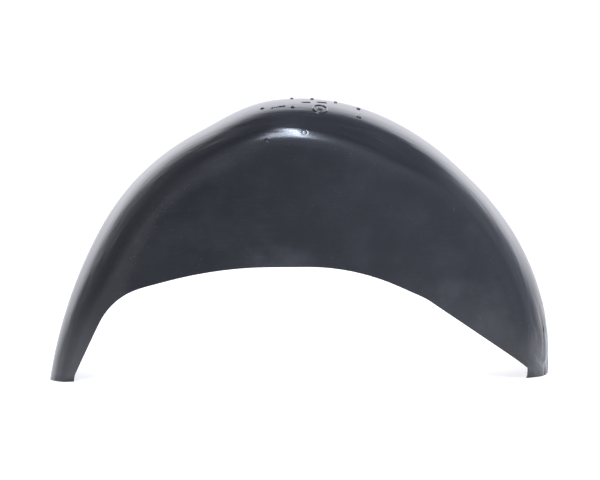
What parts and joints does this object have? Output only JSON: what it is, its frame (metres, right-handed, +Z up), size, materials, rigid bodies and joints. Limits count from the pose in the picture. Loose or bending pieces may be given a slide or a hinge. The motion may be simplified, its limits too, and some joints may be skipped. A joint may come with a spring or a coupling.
{
  "type": "wheel arch liner",
  "caption": "Thin formed plastic liner for a car's wheel arch: a flat sidewall, a broad rounded shoulder and a tread that arches over the wheel.",
  "frame": {"origin": "middle of the liner's length and width, at the level that both feet stand on", "axes": "+X along the car from the front foot to the rear foot, +Y across the car from the flat sidewall to the tread's outer edge, +Z up"},
  "size_m": [0.7426, 0.205, 0.4124],
  "materials": {
    "liner_plastic": "black plastic sheet, smooth and half glossy, with a faint bluish sheen, fine scuffs and a cut edge that is duller than the face"
  },
  "bodies": {
    "root": {"liner": "liner_plastic"}
  },
  "joints": []
}
